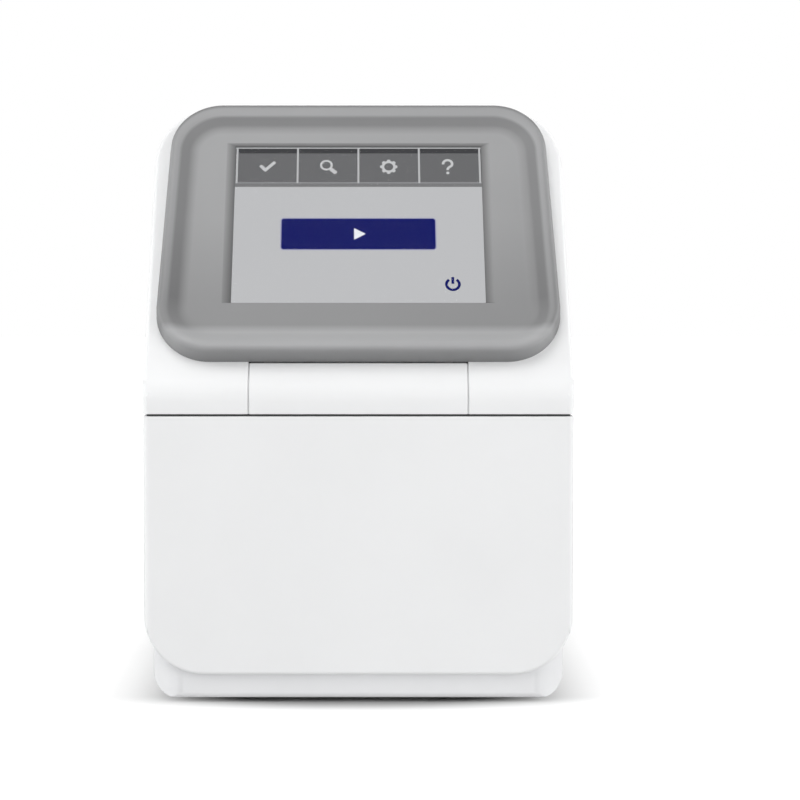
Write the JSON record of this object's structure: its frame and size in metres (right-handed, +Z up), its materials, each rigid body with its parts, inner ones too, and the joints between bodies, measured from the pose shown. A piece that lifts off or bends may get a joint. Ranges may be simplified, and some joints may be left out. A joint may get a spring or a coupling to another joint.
{
  "type": "benchtop chemistry analyzer with tilted touch screen and reagent disc drawer",
  "caption": "White benchtop chemistry analyzer with a tilted touch screen over a motor-driven drawer that carries a blue reagent disc on a turntable.",
  "frame": {"origin": "middle of the footprint, at the underside of the rubber feet", "axes": "+X to the right seen from the front, -Y towards the front with the screen and drawer, +Z up"},
  "size_m": [0.1924, 0.23, 0.2721],
  "materials": {
    "shell_white": "fine textured, satin",
    "base_pale": "fine textured, satin",
    "bezel_grey": "satin metallic grey",
    "screen_glass": "clear, polished",
    "sheet_steel": "plain sheet",
    "black_steel": "black powder coat, fine texture",
    "polished_steel": "ground and polished",
    "aluminium": "anodised",
    "black_plastic": "satin",
    "black_rubber": "matt",
    "white_plastic": "smooth, semi-gloss",
    "natural_plastic": "smooth",
    "blue_clear": "clear, tinted blue",
    "board_green": "solder mask",
    "copper": "enamelled copper wire",
    "label": "satin label"
  },
  "bodies": {
    "housing": {"base_tray": "base_pale", "rubber_feet": "black_rubber", "lower_cover": "shell_white", "upper_housing": "shell_white", "rear_panel": "base_pale", "rating_plate": "label", "screen_bezel": "bezel_grey", "touch_glass": "screen_glass", "lcd_module": "sheet_steel", "lcd_bracket": "sheet_steel", "display_board": "board_green", "display_spacers": "polished_steel", "bezel_screws": "polished_steel", "guide_rods": "polished_steel", "rod_supports": "black_plastic", "drawer_chassis": "black_steel", "chassis_posts": "aluminium", "feed_motor": "black_plastic", "home_sensor": "black_plastic", "heater_plate": "aluminium", "photometer_head": "black_plastic", "lamp_housing": "aluminium", "detector_block": "black_plastic", "main_board": "board_green", "board_spacers": "polished_steel", "heat_sink": "aluminium", "power_supply": "sheet_steel", "power_inlet": "black_plastic", "inlet_pins": "polished_steel", "switch_frame": "black_plastic", "usb_socket": "sheet_steel", "lan_socket": "sheet_steel", "fan_frame": "black_plastic", "fan_screws": "polished_steel", "panel_screws": "polished_steel", "base_screws": "polished_steel"},
    "drawer": {"drawer_front": "shell_white", "drawer_gasket": "black_rubber", "drawer_tray": "white_plastic", "drawer_latch": "white_plastic", "slide_bushes": "black_plastic", "drawer_rack": "natural_plastic", "spindle_base": "sheet_steel", "stator_windings": "copper"},
    "spindle": {"spindle_rotor": "black_plastic", "hub_ring": "polished_steel", "disc_body": "blue_clear", "disc_cover": "blue_clear"},
    "pinion": {"feed_shaft": "polished_steel", "drive_pinion": "natural_plastic"},
    "fan": {"fan_rotor": "black_plastic"},
    "rocker": {"switch_rocker": "black_plastic"}
  },
  "joints": [
    {"name": "drawer_slide", "type": "slide", "parent": "housing", "child": "drawer", "axis": [0, -1, 0], "range_m": [0, 0.104]},
    {"name": "spindle_spin", "type": "hinge", "parent": "drawer", "child": "spindle", "pos_m": [0, -0.056, 0.139], "axis": [0, 0, 1], "continuous": true},
    {"name": "pinion_turn", "type": "hinge", "parent": "housing", "child": "pinion", "pos_m": [0.022, -0.028, 0.13], "axis": [0, 0, -1], "range_deg": [-2, 750]},
    {"name": "fan_spin", "type": "hinge", "parent": "housing", "child": "fan", "pos_m": [0, 0.103, 0.17], "axis": [0, 1, 0], "continuous": true},
    {"name": "power_rock", "type": "hinge", "parent": "housing", "child": "rocker", "pos_m": [-0.0532, 0.11, 0.0812], "axis": [-1, 0, 0], "range_deg": [0, 14]}
  ],
  "couplings": [
    {"joint": "pinion_turn", "follows": "drawer_slide", "rad_per_m": 125}
  ]
}
